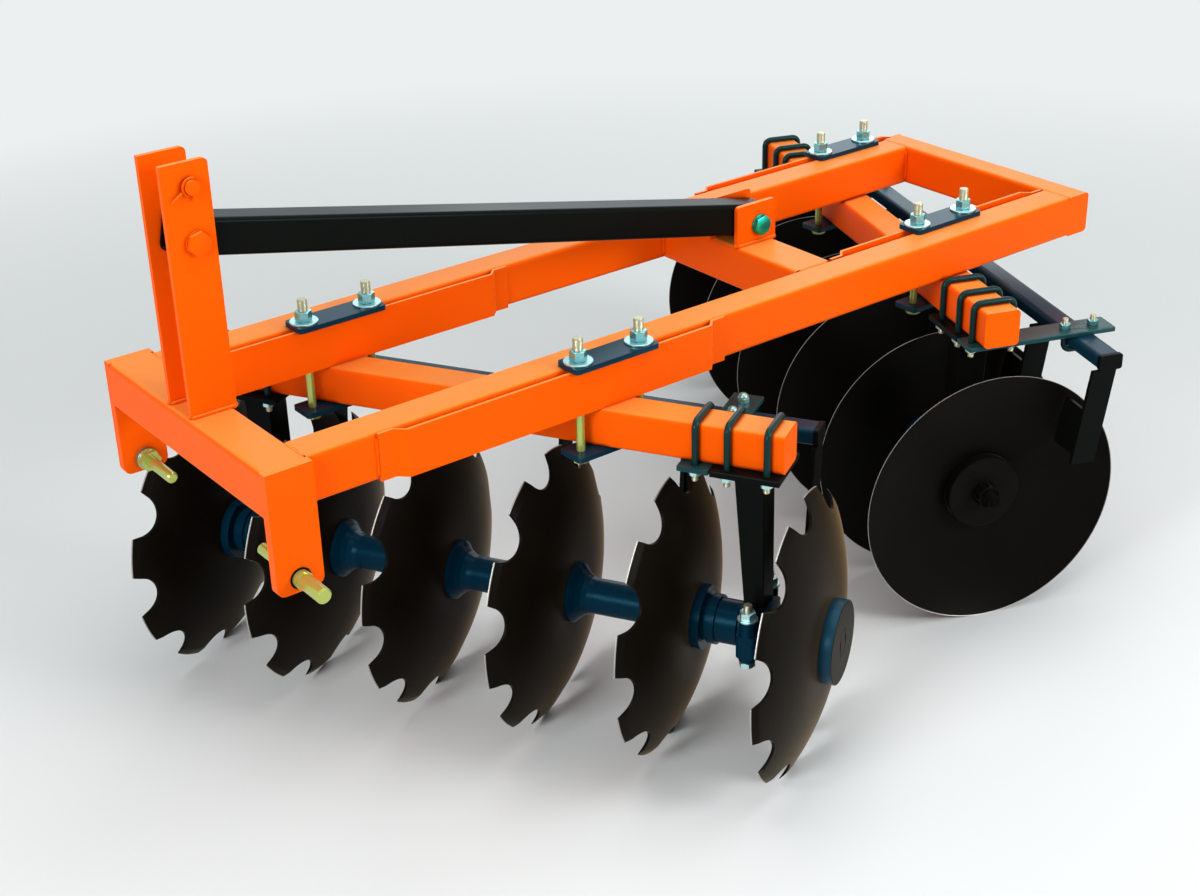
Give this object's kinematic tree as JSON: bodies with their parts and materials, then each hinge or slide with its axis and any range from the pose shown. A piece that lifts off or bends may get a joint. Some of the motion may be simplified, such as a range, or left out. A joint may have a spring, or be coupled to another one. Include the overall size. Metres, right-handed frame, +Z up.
{
  "type": "mounted offset disc harrow",
  "caption": "Three-point mounted offset disc harrow: box-tube frame with mast, angled gangs of notched and plain dished blades on spools, hangers and scrapers.",
  "frame": {"origin": "on the ground under the middle of the overall box", "axes": "+Z up, -Y forward (hitch end), +X to the machine's left"},
  "size_m": [1.5612, 2.2724, 1.2335],
  "materials": {
    "orange_paint": "semi-gloss orange enamel",
    "black_paint": "gloss black enamel",
    "cast_black": "black enamel on castings",
    "blade_steel": "dark heat-treated blade steel with a bright edge",
    "yellow_zinc": "yellow zinc plate"
  },
  "bodies": {
    "frame": {"left_beam": "orange_paint", "right_beam": "orange_paint", "front_crossbar": "orange_paint", "middle_crossbar": "orange_paint", "rear_crossbar": "orange_paint", "front_slot_strips": "orange_paint", "rear_slot_strips": "orange_paint", "left_hitch_bracket": "orange_paint", "left_lower_pin": "yellow_zinc", "right_hitch_bracket": "orange_paint", "right_lower_pin": "yellow_zinc", "left_mast_plate": "orange_paint", "right_mast_plate": "orange_paint", "brace_lugs": "orange_paint", "mast_brace": "black_paint", "brace_bolts": "yellow_zinc", "top_link_pin": "yellow_zinc", "front_gang_beam": "orange_paint", "front_bearing_housings": "cast_black", "front_hangers": "black_paint", "front_u_bolts": "black_paint", "front_scraper_bar": "black_paint", "front_scraper_brackets": "black_paint", "front_scraper_clamps": "black_paint", "front_scrapers": "black_paint", "rear_gang_beam": "orange_paint", "rear_bearing_housings": "cast_black", "rear_hangers": "black_paint", "rear_u_bolts": "black_paint", "rear_scraper_bar": "black_paint", "rear_scraper_brackets": "black_paint", "rear_scraper_clamps": "black_paint", "rear_scrapers": "black_paint", "front_clamp_plates": "black_paint", "front_clamp_bolts": "yellow_zinc", "rear_clamp_plates": "black_paint", "rear_clamp_bolts": "yellow_zinc"},
    "front_gang": {"front_disc_1": "blade_steel", "front_disc_2": "blade_steel", "front_disc_3": "blade_steel", "front_disc_4": "blade_steel", "front_disc_5": "blade_steel", "front_disc_6": "blade_steel", "front_spools": "cast_black", "front_end_washers": "cast_black", "front_gang_shaft": "cast_black"},
    "rear_gang": {"rear_disc_1": "blade_steel", "rear_disc_2": "blade_steel", "rear_disc_3": "blade_steel", "rear_disc_4": "blade_steel", "rear_disc_5": "blade_steel", "rear_disc_6": "blade_steel", "rear_spools": "cast_black", "rear_end_washers": "cast_black", "rear_gang_shaft": "cast_black"}
  },
  "joints": [
    {"name": "front_gang_spin", "type": "hinge", "parent": "frame", "child": "front_gang", "pos_m": [0.03302, -0.59616, 0.2795], "axis": [0.866, 0.5, 0], "continuous": true},
    {"name": "rear_gang_spin", "type": "hinge", "parent": "frame", "child": "rear_gang", "pos_m": [0.03302, 0.60484, 0.2795], "axis": [0.9336, -0.3584, 0], "continuous": true}
  ]
}
